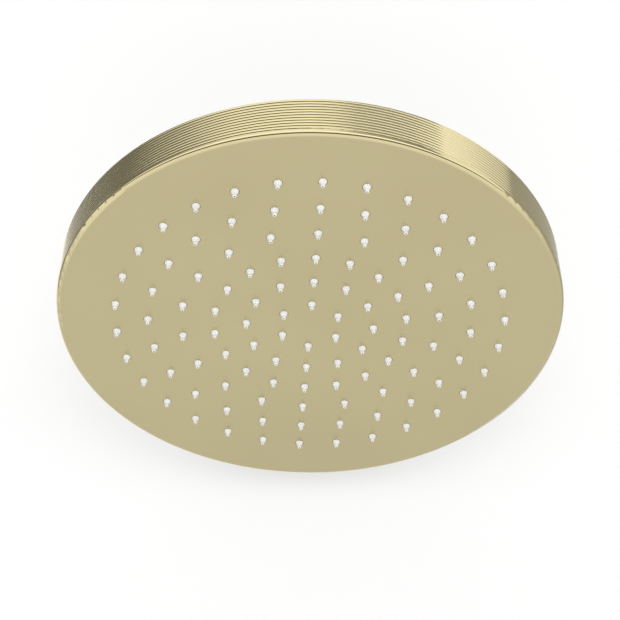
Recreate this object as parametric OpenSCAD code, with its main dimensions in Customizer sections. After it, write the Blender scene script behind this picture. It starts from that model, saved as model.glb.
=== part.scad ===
// Round overhead shower head with a ringed side wall and a ball joint inlet.
// Millimetres, +Z up. The face with the nozzles looks down, the inlet is on top.
// The origin is on the inlet axis where the full thread of the union nut begins.
// Heights in this file count from the outside of the face: from_face() moves them to that origin.

/* [Head] */
// Diameter over the rings of the side wall
head_d = 250; // [200:1:300]
// Height of the side, from the face to the top edge
side_h = 22.45; // [19:0.05:32]
// Radius of the rounding between the face and the side
edge_r = 2.45; // [1.2:0.05:3]
// How far the back rises from its edge to its middle
back_rise = 2; // [1:0.1:4]
// Thickness of the back
back_t = 1.5; // [1:0.1:3]
// Width of the level part of the back outside the back nut
back_pad_w = 2; // [1:0.1:10]
// Thickness of the side wall behind the rings
wall_t = 1.8; // [1.2:0.1:3]
// Size of the slope between the side wall and the back, inside
wall_slope = 2; // [1:0.1:4]

/* [Rings of the side wall] */
// Number of full rings between the rounded edge and the top edge
ring_count = 10; // [6:1:14]
// Depth of the grooves between the rings
ring_depth = 0.3; // [0.15:0.01:0.45]
// Width of the small bevel on the top edge
top_bevel = 0.15; // [0.05:0.05:0.3]

/* [Nozzles] */
// Number of nozzles in each ring, from the middle out
nozzle_counts = [6, 12, 18, 18, 24, 30];
// Radius of the first ring of nozzles
first_ring_r = 15.4; // [13:0.1:20]
// Distance from the outside of the side wall to the last ring of nozzles
nozzle_inset = 28.8; // [24:0.1:36]
// Turn of the whole nozzle pattern
nozzle_turn = 3.42; // [0:0.01:60]
// Diameter of a nozzle in its hole in the face
collar_d = 4; // [3:0.1:5]
// Diameter of a nozzle at the foot of its flare
neck_d = 2.1; // [1.7:0.1:2.8]
// Height of the flare below the face
flare_h = 1.9; // [0.5:0.1:2.5]
// Height of a nozzle below the face
nozzle_h = 3.3; // [2.8:0.1:5]
// Diameter of a nozzle at its end
tip_d = 1.9; // [1.6:0.1:2.6]
// Radius of the rounding round its end
tip_round = 0.35; // [0.1:0.05:0.35]
// Diameter of the jet hole
jet_d = 0.9; // [0.5:0.1:0.9]
// Wall of a nozzle round its inlet
inlet_wall = 0.4; // [0.3:0.05:0.8]
// Width of the bevel round the holes in the face
hole_bevel = 0.2; // [0.05:0.05:0.4]

/* [Face plate and water chamber] */
// Thickness of the face plate
plate_t = 1.2; // [0.8:0.1:2]
// Thickness of the nozzle mat
mat_t = 1.5; // [1:0.1:2.5]
// Thickness of the spray plate
spray_t = 2.2; // [1.6:0.1:3]
// Height of the water chamber
chamber_h = 4.1; // [3:0.1:6]
// Thickness of the chamber cover
cover_t = 2.5; // [2:0.1:4]
// Width of the spray plate's upright rim, which holds the chamber seal
chamber_rim_w = 7.7; // [6:0.1:9]
// Thickness of the cord of the chamber seal and the socket seal
seal_d = 1.6; // [1:0.1:2]
// Wall of the posts between spray plate and cover, round their screws
post_wall = 2; // [1.5:0.1:2.5]
// Number of stiffening ribs on the chamber cover between two post screws
ribs_between = 2; // [1:1:4]
// Height of the ribs
rib_h = 4.5; // [2:0.1:5]
// Thickness of the ribs
rib_t = 1.6; // [1:0.1:3]
// Height of the round rib that joins the ends of the others
round_rib_h = 2.7; // [1:0.1:5]

/* [Screws] */
// Radius of the shank of the small screws
screw_r = 1.5; // [1.2:0.05:1.8]
// Radius of their heads
screw_head_r = 2.8; // [2.4:0.05:3.3]
// Height of their heads
screw_head_h = 1.8; // [1.4:0.1:2.6]
// Width of the tapped ring and of the sealing washers outside the heads
screw_land = 0.35; // [0.3:0.05:1]
// Number of screws round the rim
rim_screw_count = 12; // [6:6:24]
// Number of screws in the posts
post_screw_count = 6; // [3:3:12]
// Floor under the screws in the posts
post_floor = 1.3; // [0.6:0.1:2]
// Thickness of the sealing washers under the post screws
seal_washer_t = 0.8; // [0.5:0.1:1.2]
// Radius of the shank of the socket screws
socket_screw_r = 2; // [1.5:0.1:2.5]
// Radius of their heads
socket_screw_head_r = 3.5; // [3:0.1:4.2]
// Height of their heads
socket_screw_head_h = 2.2; // [1.8:0.1:3]
// Number of socket screws
socket_screw_count = 4; // [3:1:6]
// Floor under the socket screws in the boss of the cover
boss_floor = 1.2; // [0.8:0.1:2]

/* [Ball joint] */
// Diameter of the ball
ball_d = 22; // [18:0.1:28]
// Largest tilt of the head to each side
tilt = 15; // [5:1:18]
// Height of the ball's centre under the top of the socket
ball_sink = 2; // [1:0.1:4]
// Width of the flat under the ball, round the water way
ball_foot_w = 2.3; // [1.5:0.1:3]
// Space between the ball and the wall of the socket
socket_gap = 1; // [0.8:0.05:1.4]
// Wall of the socket round the ball
socket_wall = 4; // [3:0.1:6]
// Thickness of the ball seat under the ball
seat_t = 0.9; // [0.5:0.1:2]
// Thickness of the cord of the ball seal
ball_seal_d = 1.6; // [1.4:0.1:2]
// Thickness of the socket's flange
flange_t = 3; // [2:0.1:4]
// Width of the socket's flange outside the heads of its screws
flange_land = 0.6; // [0.3:0.1:2]
// Height of the socket's shoulder between flange and back
shoulder_h = 4.45; // [3.4:0.05:6]
// Width of the socket's shoulder under the back
shoulder_w = 3; // [2:0.1:5]
// Height of the socket above the back nut, which takes the thread of the ball nut
hub_h = 6.8; // [6:0.1:10]
// Wall of the ball nut
ball_nut_wall = 3; // [2:0.1:5]
// Radius of the rounded shoulder of the ball nut
ball_nut_round = 2.5; // [1:0.1:2.9]
// Height of the flats for a spanner on the ball nut
ball_nut_flat_h = 6; // [4:0.1:8]
// Height of the flared mouth of the ball nut
mouth_flare_h = 1.6; // [1:0.1:2.5]
// Width of the flare
mouth_flare_w = 0.8; // [0.7:0.1:1.5]
// Thickness of the back nut
back_nut_t = 3.5; // [2.5:0.1:5]
// Width of the back nut's ring outside the thread
back_nut_w = 6; // [4:0.1:8]
// Size of the bevel on the back nut
back_nut_bevel = 0.8; // [0.3:0.1:1.2]
// Depth of the flats for a spanner on the back nut and the ball nut
flat_depth = 1.5; // [0.5:0.1:1.8]
// Thickness of the washer under the back nut
back_washer_t = 0.8; // [0.5:0.1:1.5]

/* [Inlet] */
// Radius of the G 1/2 thread at its crests
thread_r = 9.3155; // [9.3155:0.0005:9.5855]
// Length of the full thread
thread_l = 9; // [7:0.1:12]
// Depth of the free space under the thread, from the crests out
relief_depth = 1.4; // [1.3:0.05:2]
// Least wall of the union nut round the free space: its flats are a whole, even number apart
nut_wall = 1.2; // [1:0.1:3]
// Thickness of the nut's lip round the tail
lip_t = 2.2; // [1.5:0.1:3]
// Space between the nut's corners and the ball nut at full tilt
nut_gap = 0.7; // [0.5:0.1:3]
// Radius of the tail between ball and union nut
tail_r = 6.5; // [6.2:0.1:7.6]
// Wall of the tail round filter and flow regulator
tail_wall = 1.6; // [1:0.1:2]
// Thickness of the tail's flange
tail_flange_t = 2; // [1.5:0.1:3]
// Radius of the water way through the tail and the ball
water_r = 3.8; // [3:0.1:4.5]
// Wall of the tail's spigot in the ball
spigot_wall = 1.4; // [1.2:0.1:2]
// Length of the spigot
spigot_l = 11.5; // [8:0.1:13]
// Thickness of the inlet washer
washer_t = 2; // [1.5:0.1:3]
// Thickness of the filter's sheet
filter_t = 0.3; // [0.2:0.05:0.4]
// Depth of the filter's cup
filter_h = 4.2; // [3:0.1:5]
// Height of the flow regulator
regulator_h = 4; // [3.5:0.1:5]
// Floor of the flow regulator
regulator_floor = 1.4; // [1:0.1:2]
// Radius of the flow regulator's core
regulator_core_r = 2; // [1.5:0.1:2.2]
// Thickness of the cord of the regulator ring
regulator_ring_d = 1.6; // [1.2:0.1:1.7]

/* [Fits] */
// Gap round a turning or tilting face
run_gap = 0.08; // [0.05:0.01:0.1]
// Gap round a seated piece
seat_gap = 0.1; // [0.05:0.01:0.2]
// Gap round a loose piece
free_gap = 0.3; // [0.2:0.05:0.5]
// Gap between the two halves of a thread
thread_gap = 0.05; // [0.02:0.01:0.1]
// Gap round a nozzle in the face
nozzle_gap = 0.05; // [0.02:0.01:0.1]

/* [Hidden] */
$fn = 96;
eps = 0.01;

satin_brass = [0.75, 0.70, 0.54];
plain_brass = [0.80, 0.68, 0.42];
white_silicone = [0.93, 0.93, 0.92];
white_plastic = [0.88, 0.88, 0.86];
grey_plastic = [0.62, 0.64, 0.66];
black_rubber = [0.12, 0.12, 0.13];
steel = [0.72, 0.73, 0.75];

// Rings of the side wall: an arc of radius ring_arc between two grooves, ring_depth proud of them.
// The rounded edge runs up into the crest of the first one, the top edge is the crest of the last.
head_r = head_d / 2;
ring_pitch = (side_h - edge_r) / (ring_count + 1);
ring_arc = (pow(ring_pitch / 2, 2) + pow(ring_depth, 2)) / (2 * ring_depth);
seam_z = edge_r + ring_pitch / 2;
wall_in_r = head_r - ring_depth - wall_t;

// Levels of the stack, from the face up: the boss of the cover fills what the socket leaves
mat_z = plate_t;
spray_z = mat_z + mat_t;
chamber_z = spray_z + spray_t;
cover_z = chamber_z + chamber_h;
cover_top_z = cover_z + cover_t;
back_in_z = side_h + back_rise - back_t;
flange_z = back_in_z - shoulder_h;
boss_z = flange_z - flange_t;
back_z = back_in_z + back_t;
back_nut_z = back_z + back_washer_t;
hub_base_z = back_nut_z + back_nut_t;
hub_z = hub_base_z + hub_h;

// Screws reach down to the floors under them
screw_l = cover_top_z + seal_washer_t - spray_z - post_floor - free_gap;
socket_screw_l = flange_z - cover_z - boss_floor - free_gap;

// Radii of the stack
plate_ring_w = 2 * (screw_head_r + screw_land);
plate_ring_out_r = wall_in_r - seat_gap;
plate_ring_in_r = plate_ring_out_r - plate_ring_w;
rim_screw_ring_r = plate_ring_in_r + plate_ring_w / 2;
mat_r = plate_ring_in_r - free_gap;
chamber_r = mat_r - chamber_rim_w;
cover_r = wall_in_r - free_gap;
groove_w = 1.5 * seal_d;

// Nozzles
nozzle_rings = len(nozzle_counts);
last_ring_r = head_r - nozzle_inset;
nozzle_pitch = (last_ring_r - first_ring_r) / (nozzle_rings - 1);
plate_hole_r = collar_d / 2 + nozzle_gap;
inlet_r = collar_d / 2 - inlet_wall;
spray_hole_r = inlet_r - seat_gap;
post_r = screw_r + post_wall;
post_ring_r = first_ring_r + nozzle_pitch * (nozzle_rings / 2 - 0.5);
rib_count = post_screw_count * ribs_between;

// Ball, and the pocket that holds it: the seat's bore clears the water way at full tilt
ball_r = ball_d / 2;
ball_z = hub_z - ball_sink;
pocket_r = ball_r + seat_gap;
seat_bore_r = water_r + ball_r * sin(tilt) + free_gap;
ledge_z = ball_z - sqrt(pow(pocket_r, 2) - pow(seat_bore_r, 2)) - seat_t;
ball_bottom_z = ball_z - sqrt(pow(ball_r, 2) - pow(water_r + ball_foot_w, 2));
ball_top_z = ball_z + sqrt(pow(ball_r, 2) - pow(tail_r + free_gap, 2));

// Socket: the ball seal touches its wall and the ball, and lies just over the seat
socket_bore_r = ball_r + socket_gap;
hub_r = socket_bore_r + socket_wall;
ball_seal_r = ball_seal_d / 2;
ball_seal_ring_r = socket_bore_r - ball_seal_r;
ball_seal_z = ball_z - sqrt(pow(pocket_r + ball_seal_r, 2) - pow(ball_seal_ring_r, 2));
seat_top_z = ball_seal_z - ball_seal_r - run_gap;
shoulder_r = hub_r + shoulder_w;
socket_screw_ring_r = shoulder_r + socket_screw_head_r + free_gap;
flange_r = socket_screw_ring_r + socket_screw_head_r + flange_land;
boss_r = flange_r + 1;
socket_seal_ring_r = (seat_bore_r + shoulder_r) / 2;

// Ball nut: the foot of its mouth lies on the pocket and clears the tail's side at full tilt
tail_side = tail_r / cos(tilt) + free_gap;
tail_lean = tan(tilt) * pocket_r;
mouth_root = sqrt(pow(tail_side, 2) - (pow(tail_side, 2) - pow(tail_lean, 2)) / pow(cos(tilt), 2));
mouth_r = pow(cos(tilt), 2) * (tail_side + mouth_root) + free_gap;
mouth_z = ball_z + sqrt(pow(pocket_r, 2) - pow(mouth_r, 2));
ball_nut_r = hub_r + ball_nut_wall;
ball_nut_z = mouth_z + mouth_flare_h;

// Union nut: its lower corners clear the ball nut at full tilt
relief_r = thread_r + relief_depth;
nut_af = 2 * ceil(relief_r + nut_wall);
nut_r = nut_af / 2 / cos(30);
nut_rise = (ball_nut_z - ball_z + nut_gap + nut_r * sin(tilt)) / cos(tilt);
nut_z = ball_z + nut_rise;
tail_flange_z = nut_z + lip_t + seat_gap;
filter_z = tail_flange_z + tail_flange_t;
washer_z = filter_z + filter_t;
thread_z = washer_z + washer_t + free_gap;
inlet_z = thread_z + thread_l;
nut_top_z = inlet_z + relief_depth;

// Tail and what sits in it
tail_flange_r = thread_r - free_gap;
spigot_r = water_r + spigot_wall;
spigot_z = ball_top_z - spigot_l;
cup_r = tail_r - tail_wall;
regulator_z = filter_z - filter_h - free_gap - regulator_h;
regulator_ring_r = regulator_core_r + regulator_ring_d / 2 + seat_gap;

module from_face() {
    translate([0, 0, -inlet_z])
        children();
}

// One child on each place of a circle
module round_about(count, r, turn = 0) {
    for (i = [0:count - 1])
        rotate([0, 0, turn + 360 * i / count])
            translate([r, 0, 0])
                children();
}

// One child under each nozzle: every ring has one on the same spoke
module at_nozzles() {
    for (k = [0:nozzle_rings - 1])
        round_about(nozzle_counts[k], first_ring_r + k * nozzle_pitch, nozzle_turn - 90)
            children();
}

// The screw places of the rim and of the socket lie half a step from the spoke along X
module at_rim_screws() {
    round_about(rim_screw_count, rim_screw_ring_r, 180 / rim_screw_count)
        children();
}

module at_post_screws() {
    round_about(post_screw_count, post_ring_r)
        children();
}

module at_socket_screws() {
    round_about(socket_screw_count, socket_screw_ring_r, 180 / socket_screw_count)
        children();
}

// A ring of round cord, lying on the height z
module cord_ring(ring_r, cord_d, z) {
    translate([0, 0, z + cord_d / 2])
        rotate_extrude()
            translate([ring_r, 0])
                circle(d = cord_d);
}

// A straight tube
module tube(outer_r, inner_r, z0, z1) {
    translate([0, 0, z0])
        difference() {
            cylinder(r = outer_r, h = z1 - z0);
            translate([0, 0, -1])
                cylinder(r = inner_r, h = z1 - z0 + 2);
        }
}

// Pan head screw with a cross recess and a pointed end, its head standing on z = 0
module screw(shank_r, length, head_r, head_h) {
    core_r = shank_r - thread_gap;
    point_r = shank_r * 0.4;
    crown_r = head_r * 0.72;
    recess_w = head_r * 0.32;
    recess_l = head_r * 1.25;
    recess_floor = head_h * 0.35;
    difference() {
        union() {
            translate([0, 0, -length])
                cylinder(r1 = point_r, r2 = core_r, h = shank_r);
            translate([0, 0, shank_r - length])
                cylinder(r = core_r, h = length - shank_r + eps);
            cylinder(r = head_r, h = head_h / 2);
            translate([0, 0, head_h / 2])
                cylinder(r1 = head_r, r2 = crown_r, h = head_h / 2);
        }
        for (a = [0, 90])
            rotate([0, 0, a])
                translate([-recess_l / 2, -recess_w / 2, recess_floor])
                    cube([recess_l, recess_w, head_h]);
    }
}

// A quarter of a disc in a half section, with its centre at [r, z] and its corner outwards and up or down
module corner_round(r, z, round_r, up) {
    intersection() {
        translate([r, z])
            circle(r = round_r);
        translate([r, up ? z : z - round_r])
            square(round_r);
    }
}

// Half section of some rings of the side wall between two heights, from the radius r outwards
module ring_section(rings, r, low, high) {
    intersection() {
        translate([r, low])
            square([head_r - r + 1, high - low]);
        for (i = rings)
            translate([head_r - ring_arc, edge_r + i * ring_pitch])
                circle(r = ring_arc);
    }
}

// Turned disc: rounded outer edge, thin face with a hole for each nozzle, tapped ring behind the edge
module face_plate() {
    from_face()
        color(satin_brass)
            difference() {
                rotate_extrude()
                    difference() {
                        union() {
                            square([head_r - edge_r, edge_r]);
                            corner_round(head_r - edge_r, edge_r, edge_r, false);
                            translate([0, edge_r])
                                square([head_r - ring_arc, seam_z - edge_r]);
                            ring_section([0], head_r - ring_arc, edge_r, seam_z);
                            translate([plate_ring_in_r, seam_z - 1])
                                square([plate_ring_w, cover_z - seam_z + 1]);
                        }
                        translate([-1, plate_t])
                            square([plate_ring_in_r + 1, cover_z]);
                    }
                at_nozzles() {
                    translate([0, 0, -1])
                        cylinder(r = plate_hole_r, h = plate_t + 2, $fn = 48);
                    translate([0, 0, -eps])
                        cylinder(
                            r1 = plate_hole_r + hole_bevel + eps, r2 = plate_hole_r - eps,
                            h = hole_bevel + 2 * eps, $fn = 48
                        );
                }
                at_rim_screws()
                    translate([0, 0, cover_top_z - screw_l - free_gap])
                        cylinder(r = screw_r, h = screw_l, $fn = 32);
            }
}

// Half section of a nozzle: straight in the face plate, flared below it, then a slim round-ended tip
module nozzle_section() {
    end_r = tip_d / 2;
    polygon([
        [0, mat_z + mat_t / 2],
        [collar_d / 2, mat_z + mat_t / 2],
        [collar_d / 2, 0],
        [neck_d / 2, -flare_h],
        [end_r, tip_round - nozzle_h],
        [0, tip_round - nozzle_h]
    ]);
    translate([0, -nozzle_h])
        square([end_r - tip_round, tip_round + eps]);
    corner_round(end_r - tip_round, tip_round - nozzle_h, tip_round, false);
}

// Silicone mat: a disc with all nozzles on it, each with a jet hole that widens towards the water
module nozzle_mat() {
    widening = (inlet_r - jet_d / 2) / spray_z;
    from_face()
        color(white_silicone)
            difference() {
                union() {
                    translate([0, 0, mat_z])
                        cylinder(r = mat_r, h = mat_t);
                    at_nozzles()
                        rotate_extrude($fn = 48)
                            nozzle_section();
                }
                at_nozzles() {
                    translate([0, 0, -nozzle_h - 1])
                        cylinder(r = jet_d / 2, h = nozzle_h + 1 + mat_z, $fn = 32);
                    cylinder(r1 = jet_d / 2, r2 = inlet_r + widening, h = spray_z + 1, $fn = 32);
                }
            }
}

// Moulded plate behind the mat: a hole over each nozzle, an upright rim with the seal's groove, posts
module spray_plate() {
    funnel_w = 1;
    funnel_h = 0.6;
    from_face()
        color(grey_plastic)
            difference() {
                union() {
                    rotate_extrude()
                        difference() {
                            union() {
                                translate([0, spray_z])
                                    square([mat_r, spray_t]);
                                translate([chamber_r, spray_z])
                                    square([chamber_rim_w, cover_z - spray_z]);
                            }
                            translate([chamber_r + (chamber_rim_w - groove_w) / 2, cover_z - seal_d])
                                square([groove_w, seal_d + 1]);
                        }
                    at_post_screws()
                        translate([0, 0, spray_z + spray_t / 2])
                            cylinder(r = post_r, h = cover_z - spray_z - spray_t / 2, $fn = 48);
                }
                at_nozzles() {
                    translate([0, 0, spray_z - 1])
                        cylinder(r = spray_hole_r, h = spray_t + 2, $fn = 32);
                    translate([0, 0, chamber_z - funnel_h])
                        cylinder(r1 = spray_hole_r, r2 = spray_hole_r + funnel_w, h = funnel_w, $fn = 32);
                }
                at_post_screws()
                    translate([0, 0, cover_top_z + seal_washer_t - screw_l - free_gap])
                        cylinder(r = screw_r, h = screw_l, $fn = 32);
            }
}

// Rubber cord in the groove of the spray plate's rim
module chamber_seal() {
    from_face()
        color(black_rubber)
            cord_ring(chamber_r + chamber_rim_w / 2, seal_d, cover_z - seal_d);
}

// Moulded lid of the water chamber: stiffening ribs, a thick boss for the socket, screw holes
module chamber_cover() {
    round_rib_r = chamber_r + 1;
    root_z = cover_z + cover_t / 2;
    from_face()
        color(white_plastic)
            difference() {
                union() {
                    translate([0, 0, cover_z])
                        cylinder(r = cover_r, h = cover_t);
                    translate([0, 0, cover_z])
                        cylinder(r = boss_r, h = boss_z - cover_z);
                    for (i = [0:rib_count - 1])
                        rotate([0, 0, 360 * (i + 0.5) / rib_count])
                            translate([boss_r - 1, -rib_t / 2, root_z])
                                cube([round_rib_r - boss_r + 1, rib_t, cover_top_z + rib_h - root_z]);
                    tube(round_rib_r + rib_t, round_rib_r, root_z, cover_top_z + round_rib_h);
                }
                translate([0, 0, cover_z - 1])
                    cylinder(r = seat_bore_r, h = boss_z - cover_z + rib_h + 2);
                at_rim_screws()
                    translate([0, 0, cover_z - 1])
                        cylinder(r = screw_r + free_gap, h = cover_t + 2, $fn = 32);
                at_post_screws()
                    translate([0, 0, cover_z - 1])
                        cylinder(r = screw_r + free_gap, h = cover_t + 2, $fn = 32);
                at_socket_screws()
                    translate([0, 0, flange_z - socket_screw_l - free_gap])
                        cylinder(r = socket_screw_r, h = socket_screw_l + rib_h, $fn = 32);
            }
}

// Screws that hold cover and spray plate in the tapped ring of the face plate
module rim_screws() {
    from_face()
        color(steel)
            at_rim_screws()
                translate([0, 0, cover_top_z])
                    screw(screw_r, screw_l, screw_head_r, screw_head_h, $fn = 32);
}

// Rubber washers under the heads of the post screws
module sealing_washers() {
    from_face()
        color(black_rubber)
            at_post_screws()
                tube(screw_head_r + screw_land, screw_r, cover_top_z, cover_top_z + seal_washer_t, $fn = 32);
}

// Screws that hold the cover down on the posts of the spray plate
module post_screws() {
    from_face()
        color(steel)
            at_post_screws()
                translate([0, 0, cover_top_z + seal_washer_t])
                    screw(screw_r, screw_l, screw_head_r, screw_head_h, $fn = 32);
}

// Turned shell: the ringed side wall and the crowned back, with a hole for the socket
module housing() {
    pad_r = hub_r + back_nut_w + back_pad_w;
    hole_r = hub_r + free_gap;
    from_face()
        color(satin_brass)
            rotate_extrude()
                difference() {
                    union() {
                        translate([wall_in_r, seam_z])
                            square([wall_t / 2, side_h - seam_z]);
                        ring_section([1:ring_count + 1], wall_in_r, seam_z, side_h);
                        polygon([
                            [hole_r, back_in_z],
                            [pad_r, back_in_z],
                            [wall_in_r - wall_slope, side_h - back_t],
                            [wall_in_r, side_h - back_t - wall_slope],
                            [wall_in_r + wall_t / 2, side_h - back_t - wall_slope],
                            [wall_in_r + wall_t / 2, side_h],
                            [pad_r, back_z],
                            [hole_r, back_z]
                        ]);
                    }
                    translate([head_r, side_h])
                        rotate(45)
                            square(top_bevel * sqrt(2), center = true);
                }
}

// Brass socket: flange on the cover's boss, shoulder under the back, threaded hub with the cup of the ball joint
module socket() {
    from_face()
        color(plain_brass)
            difference() {
                rotate_extrude()
                    difference() {
                        union() {
                            translate([0, boss_z])
                                square([flange_r, flange_t]);
                            translate([0, boss_z])
                                square([shoulder_r, back_in_z - boss_z]);
                            translate([0, boss_z])
                                square([hub_r, hub_z - boss_z]);
                        }
                        translate([0, boss_z - 1])
                            square([seat_bore_r, hub_z]);
                        translate([0, ledge_z])
                            square([socket_bore_r, hub_z]);
                        translate([socket_seal_ring_r - groove_w / 2, boss_z - 1])
                            square([groove_w, seal_d + 1]);
                    }
                at_socket_screws()
                    translate([0, 0, boss_z - 1])
                        cylinder(r = socket_screw_r + free_gap, h = flange_t + 2, $fn = 32);
            }
}

// O-ring in the groove under the socket's flange
module socket_seal() {
    from_face()
        color(black_rubber)
            cord_ring(socket_seal_ring_r, seal_d, boss_z);
}

// Screws that hold the socket on the cover's boss
module socket_screws() {
    from_face()
        color(steel)
            at_socket_screws()
                translate([0, 0, flange_z])
                    screw(
                        socket_screw_r, socket_screw_l,
                        socket_screw_head_r, socket_screw_head_h, $fn = 32
                    );
}

// Plastic washer that keeps the back nut off the finish of the back
module back_washer() {
    from_face()
        color(white_plastic)
            tube(hub_r + back_nut_w - back_nut_bevel, hub_r + seat_gap, back_z, back_nut_z);
}

// Flat round nut on the socket, which clamps the housing's back on the socket's shoulder
module back_nut() {
    out_r = hub_r + back_nut_w;
    from_face()
        color(satin_brass)
            intersection() {
                difference() {
                    union() {
                        translate([0, 0, back_nut_z])
                            cylinder(r = out_r, h = back_nut_t - back_nut_bevel);
                        translate([0, 0, hub_base_z - back_nut_bevel])
                            cylinder(r1 = out_r, r2 = out_r - back_nut_bevel, h = back_nut_bevel);
                    }
                    translate([0, 0, back_nut_z - 1])
                        cylinder(r = hub_r + thread_gap, h = back_nut_t + 2);
                }
                translate([flat_depth - out_r, -out_r - 1, back_nut_z - 1])
                    cube([2 * (out_r - flat_depth), 2 * (out_r + 1), back_nut_t + 2]);
            }
}

// Ring of slippery plastic on the ledge of the socket, hollowed to the ball
module ball_seat() {
    from_face()
        color(white_plastic)
            difference() {
                translate([0, 0, ledge_z + run_gap])
                    cylinder(r = socket_bore_r - run_gap, h = seat_top_z - ledge_z - run_gap);
                translate([0, 0, ledge_z - 1])
                    cylinder(r = seat_bore_r, h = ball_d);
                translate([0, 0, ball_z])
                    sphere(r = pocket_r);
            }
}

// O-ring between the ball and the wall of the socket, lying on the seat
module ball_seal() {
    from_face()
        color(black_rubber)
            cord_ring(ball_seal_ring_r, ball_seal_d, ball_seal_z - ball_seal_r);
}

// Cap nut on the socket: a hollow for the ball inside, a flared mouth, two flats for a spanner
module ball_nut() {
    base_z = hub_base_z + free_gap;
    round_z = ball_nut_z - ball_nut_round;
    from_face()
        color(satin_brass)
            difference() {
                rotate_extrude()
                    union() {
                        translate([0, base_z])
                            square([ball_nut_r, round_z - base_z]);
                        translate([0, base_z])
                            square([ball_nut_r - ball_nut_round, ball_nut_z - base_z]);
                        corner_round(ball_nut_r - ball_nut_round, round_z, ball_nut_round, true);
                    }
                translate([0, 0, base_z - 1])
                    cylinder(r = hub_r + thread_gap, h = hub_z - base_z + 1 + free_gap);
                translate([0, 0, ball_z])
                    sphere(r = pocket_r);
                translate([0, 0, mouth_z - eps])
                    cylinder(r1 = mouth_r, r2 = mouth_r + mouth_flare_w, h = mouth_flare_h + 2 * eps);
                translate([0, 0, ball_z])
                    cylinder(r = mouth_r, h = mouth_z - ball_z + mouth_flare_h / 3);
                for (side = [0, 180])
                    rotate([0, 0, side])
                        translate([ball_nut_r - flat_depth, -ball_nut_r, base_z - 1])
                            cube([ball_nut_r, 2 * ball_nut_r, ball_nut_flat_h + 1]);
            }
}

// Ball with a flat top for the tail's shoulder, a threaded hole above and the water way below
module swivel_ball() {
    from_face()
        color(plain_brass)
            difference() {
                intersection() {
                    translate([0, 0, ball_z])
                        sphere(r = ball_r);
                    translate([0, 0, ball_bottom_z])
                        cylinder(r = ball_r + 1, h = ball_top_z - ball_bottom_z);
                }
                translate([0, 0, spigot_z])
                    cylinder(r = spigot_r + thread_gap, h = ball_d);
                translate([0, 0, ball_bottom_z - 1])
                    cylinder(r = water_r, h = ball_d);
            }
}

// Tail: flange inside the union nut, tube through its lip, threaded spigot in the ball
module tailpiece() {
    from_face()
        color(plain_brass)
            difference() {
                union() {
                    translate([0, 0, spigot_z + free_gap])
                        cylinder(r = spigot_r, h = spigot_l);
                    translate([0, 0, ball_top_z])
                        cylinder(r = tail_r, h = filter_z - ball_top_z);
                    translate([0, 0, tail_flange_z])
                        cylinder(r = tail_flange_r, h = tail_flange_t);
                }
                translate([0, 0, spigot_z])
                    cylinder(r = water_r, h = filter_z);
                translate([0, 0, regulator_z])
                    cylinder(r = cup_r, h = filter_z);
            }
}

// Hexagon nut that turns on the tail: thread for the shower arm, free space under it, lip below
module union_nut() {
    bevel_h = (nut_r - nut_af / 2) * tan(30);
    from_face()
        color(satin_brass)
            difference() {
                intersection() {
                    translate([0, 0, nut_z])
                        cylinder(r = nut_r, h = nut_top_z - nut_z, $fn = 6);
                    union() {
                        translate([0, 0, nut_z])
                            cylinder(r1 = nut_af / 2, r2 = nut_r, h = bevel_h);
                        translate([0, 0, nut_z + bevel_h])
                            cylinder(r = nut_r, h = nut_top_z - nut_z - 2 * bevel_h);
                        translate([0, 0, nut_top_z - bevel_h])
                            cylinder(r1 = nut_r, r2 = nut_af / 2, h = bevel_h);
                    }
                }
                translate([0, 0, nut_z - 1])
                    cylinder(r = tail_r + run_gap, h = lip_t + 2);
                translate([0, 0, nut_z + lip_t])
                    cylinder(r = relief_r, h = thread_z - nut_z - lip_t);
                translate([0, 0, thread_z - 1])
                    cylinder(r = thread_r, h = thread_l + 2);
                translate([0, 0, inlet_z])
                    cylinder(r1 = thread_r, r2 = relief_r + eps, h = relief_depth + eps);
            }
}

// Flat rubber washer between the filter's rim and the shower arm
module inlet_washer() {
    from_face()
        color(black_rubber)
            tube(tail_flange_r - seat_gap, cup_r + free_gap, washer_z, washer_z + washer_t);
}

// Pressed sheet cup with a pierced floor, hanging in the tail by its rim
module filter_screen() {
    hole_r = 0.38;
    hole_pitch = 1.25;
    hole_rows = 3;
    cup_z = filter_z - filter_h;
    from_face()
        color(steel)
            difference() {
                union() {
                    translate([0, 0, filter_z])
                        cylinder(r = tail_flange_r - free_gap, h = filter_t);
                    translate([0, 0, cup_z])
                        cylinder(r = cup_r - seat_gap, h = filter_h + eps);
                }
                translate([0, 0, cup_z + filter_t])
                    cylinder(r = cup_r - seat_gap - filter_t, h = filter_h + 1);
                for (k = [0:hole_rows])
                    round_about(max(1, 6 * k), k * hole_pitch)
                        translate([0, 0, cup_z - 1])
                            cylinder(r = hole_r, h = filter_t + 2, $fn = 24);
            }
}

// Plastic insert that steadies the flow: round channel with small holes in its floor
module flow_regulator() {
    hole_r = 0.5;
    hole_count = 8;
    channel_r = regulator_ring_r + regulator_ring_d / 2 + seat_gap;
    from_face()
        color(white_plastic)
            difference() {
                translate([0, 0, regulator_z])
                    cylinder(r = cup_r - seat_gap, h = regulator_h);
                tube(
                    channel_r, regulator_core_r,
                    regulator_z + regulator_floor, regulator_z + regulator_h + 1
                );
                round_about(hole_count, regulator_ring_r)
                    translate([0, 0, regulator_z - 1])
                        cylinder(r = hole_r, h = regulator_floor + 2, $fn = 24);
            }
}

// Soft ring that lies in the channel of the flow regulator
module regulator_ring() {
    from_face()
        color(black_rubber)
            cord_ring(regulator_ring_r, regulator_ring_d, regulator_z + regulator_floor);
}

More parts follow.
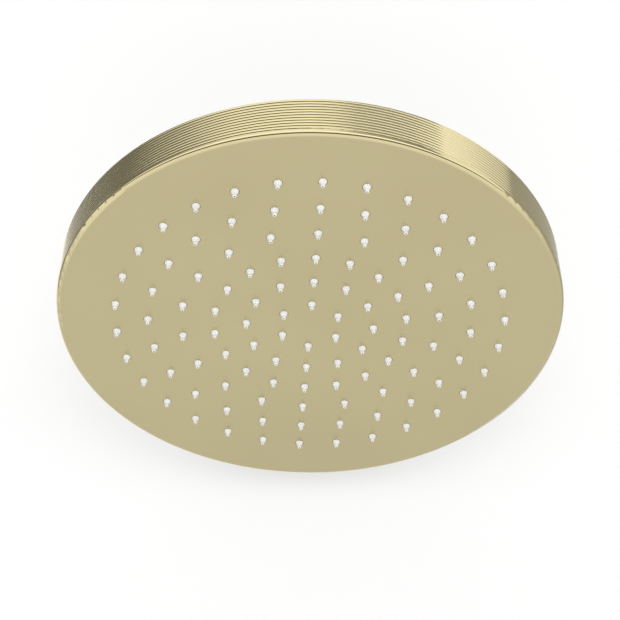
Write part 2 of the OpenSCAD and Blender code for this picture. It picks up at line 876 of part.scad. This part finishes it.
face_plate();
nozzle_mat();
spray_plate();
chamber_seal();
chamber_cover();
rim_screws();
sealing_washers();
post_screws();
housing();
socket();
socket_seal();
socket_screws();
back_washer();
back_nut();
ball_seat();
ball_seal();
ball_nut();
swivel_ball();
tailpiece();
union_nut();
inlet_washer();
filter_screen();
flow_regulator();
regulator_ring();
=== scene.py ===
import math
import bpy
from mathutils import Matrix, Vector


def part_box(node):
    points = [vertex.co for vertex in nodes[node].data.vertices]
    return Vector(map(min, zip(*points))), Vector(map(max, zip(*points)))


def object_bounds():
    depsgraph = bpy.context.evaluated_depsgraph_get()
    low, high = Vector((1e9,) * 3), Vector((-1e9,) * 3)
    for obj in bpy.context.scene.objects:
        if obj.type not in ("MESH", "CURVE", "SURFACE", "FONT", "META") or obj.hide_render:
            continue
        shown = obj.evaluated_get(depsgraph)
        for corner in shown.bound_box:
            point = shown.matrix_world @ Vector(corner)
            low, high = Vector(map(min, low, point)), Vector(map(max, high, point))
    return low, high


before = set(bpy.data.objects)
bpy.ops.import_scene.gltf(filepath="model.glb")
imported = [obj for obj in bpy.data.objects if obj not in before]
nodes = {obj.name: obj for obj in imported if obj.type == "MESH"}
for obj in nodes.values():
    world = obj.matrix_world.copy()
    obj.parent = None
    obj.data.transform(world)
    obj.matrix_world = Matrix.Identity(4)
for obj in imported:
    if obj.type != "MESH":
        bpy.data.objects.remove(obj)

cad_low, cad_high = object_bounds()

# The camera looks up at the face from in front of the head and below it, as the photo does.
# Its place counts from the middle of the face, which lies at the height of the nozzle mat's collars.
face_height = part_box("face_plate")[0][2]
camera_distance = 0.70675
camera_below = math.radians(41.815)
camera_pitch = math.radians(42.468)
camera_data = bpy.data.cameras.new("camera")
camera_data.lens = 82.83
camera_data.sensor_width = 36.0
camera = bpy.data.objects.new("camera", camera_data)
bpy.context.scene.collection.objects.link(camera)
camera.location = (
    0.0,
    -camera_distance * math.cos(camera_below),
    face_height - 0.0005 - camera_distance * math.sin(camera_below),
)
camera.rotation_euler = (math.pi / 2 + camera_pitch, 0.0, 0.0)
bpy.context.scene.camera = camera


# Face plate: a turned brass disc with a rounded edge, drilled for the nozzles.
# Its flat is an even satin, its rounded edge is polished, all in a pale champagne brass tone.
def new_finish(name):
    finish = bpy.data.materials.new(name)
    finish.use_nodes = True
    tree = finish.node_tree
    tree.nodes.clear()
    surface = tree.nodes.new("ShaderNodeBsdfPrincipled")
    output = tree.nodes.new("ShaderNodeOutputMaterial")
    tree.links.new(surface.outputs["BSDF"], output.inputs["Surface"])
    place = tree.nodes.new("ShaderNodeTexCoord")
    return finish, tree, surface, place


def speckle(tree, place, scale, detail, stretch=(1.0, 1.0, 1.0)):
    mapping = tree.nodes.new("ShaderNodeMapping")
    mapping.inputs["Scale"].default_value = stretch
    noise = tree.nodes.new("ShaderNodeTexNoise")
    noise.inputs["Scale"].default_value = scale
    noise.inputs["Detail"].default_value = detail
    tree.links.new(place.outputs["Object"], mapping.inputs["Vector"])
    tree.links.new(mapping.outputs["Vector"], noise.inputs["Vector"])
    return noise.outputs["Fac"]


def spread(tree, value, low, high):
    span = tree.nodes.new("ShaderNodeMapRange")
    span.inputs["From Min"].default_value = 0.3
    span.inputs["From Max"].default_value = 0.7
    span.inputs["To Min"].default_value = low
    span.inputs["To Max"].default_value = high
    tree.links.new(value, span.inputs["Value"])
    return span.outputs["Result"]


def two_tones(tree, value, dark, light):
    tones = tree.nodes.new("ShaderNodeMix")
    tones.data_type = "RGBA"
    tones.inputs["A"].default_value = (*dark, 1.0)
    tones.inputs["B"].default_value = (*light, 1.0)
    tree.links.new(value, tones.inputs["Factor"])
    return tones.outputs["Result"]


def raise_grain(tree, surface, value, depth, strength):
    grain = tree.nodes.new("ShaderNodeBump")
    grain.inputs["Distance"].default_value = depth
    grain.inputs["Strength"].default_value = strength
    tree.links.new(value, grain.inputs["Height"])
    tree.links.new(grain.outputs["Normal"], surface.inputs["Normal"])


def wear(node, finish):
    for place in nodes[node].material_slots:
        place.material = finish
    if not nodes[node].material_slots:
        nodes[node].data.materials.append(finish)


satin_brass_dark = (0.500, 0.440, 0.256)
satin_brass_light = (0.530, 0.470, 0.276)
satin_brass, tree, surface, place = new_finish("satin_brass")
cloud = speckle(tree, place, 9.0, 3.0)
grain = speckle(tree, place, 5200.0, 2.0)
tree.links.new(two_tones(tree, spread(tree, cloud, 0.0, 1.0), satin_brass_dark, satin_brass_light),
               surface.inputs["Base Color"])
edge_start, edge_end = 0.1215, 0.1229
across = tree.nodes.new("ShaderNodeVectorMath")
across.operation = "MULTIPLY"
across.inputs[1].default_value = (1.0, 1.0, 0.0)
tree.links.new(place.outputs["Object"], across.inputs[0])
radius = tree.nodes.new("ShaderNodeVectorMath")
radius.operation = "LENGTH"
tree.links.new(across.outputs["Vector"], radius.inputs[0])
polish = tree.nodes.new("ShaderNodeMapRange")
polish.interpolation_type = "SMOOTHSTEP"
polish.inputs["From Min"].default_value = edge_start
polish.inputs["From Max"].default_value = edge_end
polish.inputs["To Min"].default_value = 0.34
polish.inputs["To Max"].default_value = 0.10
tree.links.new(radius.outputs["Value"], polish.inputs["Value"])
tree.links.new(polish.outputs["Result"], surface.inputs["Roughness"])
surface.inputs["Metallic"].default_value = 1.0
raise_grain(tree, surface, grain, 0.000004, 0.04)
wear("face_plate", satin_brass)


# Nozzle mat: one moulding of white silicone behind the face plate, its collars pushed through the holes.
# The soft tips stand below the face, so that lime can be rubbed off them.
silicone, tree, surface, place = new_finish("white_silicone")
cloud = speckle(tree, place, 600.0, 2.0)
tree.links.new(two_tones(tree, cloud, (0.74, 0.74, 0.73), (0.80, 0.80, 0.79)), surface.inputs["Base Color"])
tree.links.new(spread(tree, cloud, 0.42, 0.50), surface.inputs["Roughness"])
surface.inputs["Subsurface Weight"].default_value = 0.25
surface.inputs["Subsurface Radius"].default_value = (1.0, 0.95, 0.9)
surface.inputs["Subsurface Scale"].default_value = 0.0006
raise_grain(tree, surface, cloud, 0.00002, 0.1)
wear("nozzle_mat", silicone)


# Spray plate and chamber cover: injection-moulded plastic, closed over the mat as the water chamber.
# The cover is white, the spray plate grey, both with the fine matt skin of the mould.
def moulded_plastic(name, dark, light, rough):
    finish, tree, surface, place = new_finish(name)
    skin = speckle(tree, place, 1800.0, 3.0)
    tree.links.new(two_tones(tree, skin, dark, light), surface.inputs["Base Color"])
    tree.links.new(spread(tree, skin, rough - 0.04, rough + 0.04), surface.inputs["Roughness"])
    raise_grain(tree, surface, skin, 0.00002, 0.15)
    return finish


grey_plastic = moulded_plastic("grey_plastic", (0.33, 0.35, 0.37), (0.38, 0.40, 0.42), 0.45)
white_plastic = moulded_plastic("white_plastic", (0.74, 0.74, 0.71), (0.80, 0.80, 0.77), 0.40)
wear("spray_plate", grey_plastic)
wear("chamber_cover", white_plastic)


# Seals: black rubber cord rings in their grooves, flat rubber washers under the heads of the post screws.
# All are moulded, with a dull skin and a trace of talc.
black_rubber = moulded_plastic("black_rubber", (0.012, 0.012, 0.013), (0.025, 0.025, 0.027), 0.62)
for seal in ("chamber_seal", "sealing_washers", "socket_seal", "ball_seal", "inlet_washer", "regulator_ring"):
    wear(seal, black_rubber)


# Screws: stainless steel, pan head with a cross recess, driven into the tapped ring and the posts.
# They are as made, bright with a fine turned grain.
steel, tree, surface, place = new_finish("steel")
turned = speckle(tree, place, 900.0, 4.0, (1.0, 1.0, 6.0))
tree.links.new(two_tones(tree, turned, (0.46, 0.47, 0.49), (0.56, 0.57, 0.59)), surface.inputs["Base Color"])
tree.links.new(spread(tree, turned, 0.24, 0.36), surface.inputs["Roughness"])
surface.inputs["Metallic"].default_value = 1.0
raise_grain(tree, surface, turned, 0.00001, 0.2)
for fastener in ("rim_screws", "post_screws", "socket_screws", "filter_screen"):
    wear(fastener, steel)


# Housing: a turned brass shell with fine rings cut round its side wall and a slightly crowned back.
# It has the face's champagne tone, with the fine lines of the lathe running round it.
housing_satin, tree, surface, place = new_finish("housing_satin_brass")
cloud = speckle(tree, place, 9.0, 3.0)
lathe = speckle(tree, place, 60.0, 3.0, (1.0, 1.0, 90.0))
tree.links.new(two_tones(tree, spread(tree, cloud, 0.0, 1.0), satin_brass_dark, satin_brass_light),
               surface.inputs["Base Color"])
tree.links.new(spread(tree, lathe, 0.07, 0.10), surface.inputs["Roughness"])
surface.inputs["Metallic"].default_value = 1.0
raise_grain(tree, surface, lathe, 0.000001, 0.02)
wear("housing", housing_satin)


# Back washer and back nut: the round brass nut clamps the housing on the socket's shoulder.
# The thin white washer under it keeps it off the finish.
wear("back_washer", white_plastic)
wear("back_nut", housing_satin)


# Ball joint: socket, ball and tail are turned from plain brass, the seat is moulded plastic.
# The cap nut over the ball is finished like the head.
plain_brass, tree, surface, place = new_finish("plain_brass")
turned = speckle(tree, place, 300.0, 3.0, (1.0, 1.0, 20.0))
tree.links.new(two_tones(tree, turned, (0.58, 0.43, 0.17), (0.66, 0.50, 0.21)), surface.inputs["Base Color"])
tree.links.new(spread(tree, turned, 0.18, 0.28), surface.inputs["Roughness"])
surface.inputs["Metallic"].default_value = 1.0
raise_grain(tree, surface, turned, 0.000006, 0.15)
for turning in ("socket", "swivel_ball", "tailpiece"):
    wear(turning, plain_brass)
wear("ball_seat", white_plastic)
wear("ball_nut", housing_satin)


# Flow regulator: a moulded insert under the filter, which the soft ring closes as the pressure rises.
wear("flow_regulator", white_plastic)


# Union nut: a hexagon brass nut that screws the head to the shower arm.
wear("union_nut", housing_satin)


# Studio: a pale floor far below, a sheet of white paper behind the head that takes its soft shadow,
# and a room of soft light, darker overhead, with a large window in front.
def stage_disc(name, inner, outer, start, end, height, steps=96):
    corners, faces = [], []
    for step in range(steps + 1):
        angle = math.radians(start + (end - start) * step / steps)
        for radius in (inner, outer):
            corners.append((radius * math.cos(angle), radius * math.sin(angle), height))
    for step in range(steps):
        first = 2 * step
        faces.append((first, first + 2, first + 3, first + 1))
    mesh = bpy.data.meshes.new(name)
    mesh.from_pydata(corners, [], faces)
    mesh.update()
    sheet = bpy.data.objects.new(name, mesh)
    bpy.context.scene.collection.objects.link(sheet)
    return sheet


floor_depth = -1.05
floor = stage_disc("floor", 0.0, 6.0, 0.0, 360.0, floor_depth)
floor.data.flip_normals()
floor_paint, tree, surface, place = new_finish("floor_paint")
cloud = speckle(tree, place, 3.0, 2.0)
tree.links.new(two_tones(tree, cloud, (0.78, 0.78, 0.78), (0.80, 0.80, 0.80)), surface.inputs["Base Color"])
surface.inputs["Roughness"].default_value = 0.8
floor.data.materials.append(floor_paint)
floor.visible_glossy = False
floor.visible_diffuse = False

paper = stage_disc("backing_paper", 0.0, 0.36, 0.0, 360.0, 0.0)
paper.data.flip_normals()
towards_camera = Vector((0.0, -math.cos(camera_below), -math.sin(camera_below)))
far_edge = Vector((0.0, cad_high[1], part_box("housing")[1][2]))
paper.location = towards_camera * (far_edge.dot(towards_camera) - 0.006)
paper.rotation_mode = "QUATERNION"
paper.rotation_quaternion = towards_camera.to_track_quat("Z", "Y")
paper_white, tree, surface, place = new_finish("paper_white")
cloud = speckle(tree, place, 3.0, 2.0)
tree.links.new(two_tones(tree, cloud, (0.90, 0.90, 0.90), (0.91, 0.91, 0.91)), surface.inputs["Base Color"])
surface.inputs["Roughness"].default_value = 1.0
surface.inputs["Specular IOR Level"].default_value = 0.0
clear = tree.nodes.new("ShaderNodeBsdfTransparent")
side = tree.nodes.new("ShaderNodeNewGeometry")
thin = tree.nodes.new("ShaderNodeMixShader")
thin.inputs["Fac"].default_value = 0.55
tree.links.new(surface.outputs["BSDF"], thin.inputs[1])
tree.links.new(clear.outputs["BSDF"], thin.inputs[2])
seen = tree.nodes.new("ShaderNodeMixShader")
tree.links.new(side.outputs["Backfacing"], seen.inputs["Fac"])
tree.links.new(thin.outputs["Shader"], seen.inputs[1])
tree.links.new(clear.outputs["BSDF"], seen.inputs[2])
tree.links.new(seen.outputs["Shader"], tree.nodes["Material Output"].inputs["Surface"])
paper.data.materials.append(paper_white)
paper.visible_diffuse = False
paper.visible_glossy = False
paper.visible_transmission = False
paper.visible_shadow = False

world = bpy.data.worlds.new("studio")
bpy.context.scene.world = world
world.use_nodes = True
tree = world.node_tree
tree.nodes.clear()
output = tree.nodes.new("ShaderNodeOutputWorld")
place = tree.nodes.new("ShaderNodeTexCoord")
split = tree.nodes.new("ShaderNodeSeparateXYZ")
tree.links.new(place.outputs["Generated"], split.inputs["Vector"])


def reckon(operation, first, second=None):
    step = tree.nodes.new("ShaderNodeMath")
    step.operation = operation
    for socket, value in zip(step.inputs, (first, second)):
        if value is None:
            continue
        if isinstance(value, (int, float)):
            socket.default_value = value
        else:
            tree.links.new(value, socket)
    return step.outputs["Value"]


def light_by(angle, low, high, stops):
    ramp = tree.nodes.new("ShaderNodeValToRGB")
    ramp.color_ramp.interpolation = "LINEAR"
    points = ramp.color_ramp.elements
    points.remove(points[1])
    points[0].position = 0.0
    for number, (degrees, level) in enumerate(stops):
        point = points[0] if number == 0 else points.new((degrees - low) / (high - low))
        point.color = (level / 4.0, level / 4.0, level / 4.0, 1.0)
    share = reckon("DIVIDE", reckon("SUBTRACT", angle, math.radians(low)), math.radians(high - low))
    tree.links.new(share, ramp.inputs["Fac"])
    return reckon("MULTIPLY", ramp.outputs["Color"], 4.0)


def between(value, start, end, first, second):
    share = tree.nodes.new("ShaderNodeMapRange")
    share.interpolation_type = "SMOOTHSTEP"
    share.inputs["From Min"].default_value = start
    share.inputs["From Max"].default_value = end
    tree.links.new(value, share.inputs["Value"])
    mix = tree.nodes.new("ShaderNodeMix")
    mix.data_type = "FLOAT"
    tree.links.new(share.outputs["Result"], mix.inputs[0])
    tree.links.new(first, mix.inputs[2])
    tree.links.new(second, mix.inputs[3])
    return mix.outputs[0]


# Bearing 0 is in front (-Y), 90 to the right (+X). The walls are lit up to head height, dark over it.
# Under the horizon a turn of 0 is in front, 90 straight down, 180 behind.
front = reckon("MULTIPLY", split.outputs["Y"], -1.0)
bearing = reckon("ARCTAN2", split.outputs["X"], front)
walls = light_by(bearing, -180, 180, [
    (-180, 1.25), (-127, 1.25), (-125, 0.42), (-70, 0.34), (-52, 0.6), (-30, 1.5), (0, 1.75), (9, 1.5),
    (18, 0.8), (32, 0.62), (44, 0.42), (50, 0.38), (52, 1.55), (82, 1.55), (84, 0.62), (120, 0.6), (160, 0.95),
])
upper = light_by(bearing, -180, 180, [
    (-180, 1.2), (-127, 1.2), (-125, 0.09), (-52, 0.09), (-20, 0.14), (9, 0.16),
    (20, 0.45), (34, 0.3), (50, 0.08), (52, 2.4), (82, 2.4), (84, 0.3), (120, 0.42), (160, 0.9),
])
under = light_by(reckon("ARCTAN2", reckon("MULTIPLY", split.outputs["Z"], -1.0), front), 0, 180, [
    (0, 1.5), (10, 2.2), (22, 2.2), (34, 0.9), (44, 0.14), (57, 0.14), (63, 1.45),
    (90, 1.5), (115, 1.3), (132, 1.02), (150, 0.98), (180, 0.95),
])
above = between(split.outputs["Z"], 0.58, 0.74, walls, upper)
room = between(split.outputs["Z"], -0.10, 0.0, under, above)
room_light = tree.nodes.new("ShaderNodeBackground")
room_light.inputs["Color"].default_value = (1.0, 1.0, 1.0, 1.0)
tree.links.new(room, room_light.inputs["Strength"])
white = tree.nodes.new("ShaderNodeBackground")
white.inputs["Color"].default_value = (1.0, 1.0, 1.0, 1.0)
path = tree.nodes.new("ShaderNodeLightPath")
shown = tree.nodes.new("ShaderNodeMixShader")
tree.links.new(path.outputs["Is Camera Ray"], shown.inputs["Fac"])
tree.links.new(room_light.outputs["Background"], shown.inputs[1])
tree.links.new(white.outputs["Background"], shown.inputs[2])
tree.links.new(shown.outputs["Shader"], output.inputs["Surface"])

# A wide soft lamp in front and a little below lights the nozzles and throws the head's soft shadow.
lamp_data = bpy.data.lights.new("soft_lamp", "AREA")
lamp_data.shape = "DISK"
lamp_data.size = 0.55
lamp_data.energy = 4.0
lamp = bpy.data.objects.new("soft_lamp", lamp_data)
bpy.context.scene.collection.objects.link(lamp)
lamp_bearing, lamp_elevation, lamp_distance = math.radians(4.0), math.radians(-24.0), 1.25
outwards = Vector((
    math.sin(lamp_bearing) * math.cos(lamp_elevation),
    -math.cos(lamp_bearing) * math.cos(lamp_elevation),
    math.sin(lamp_elevation),
))
lamp.location = Vector((0.0, 0.0, face_height)) + lamp_distance * outwards
lamp.rotation_mode = "QUATERNION"
lamp.rotation_quaternion = outwards.to_track_quat("Z", "Y")
lamp.visible_camera = False
lamp.visible_glossy = False

scene = bpy.context.scene
scene.view_settings.view_transform = "Standard"
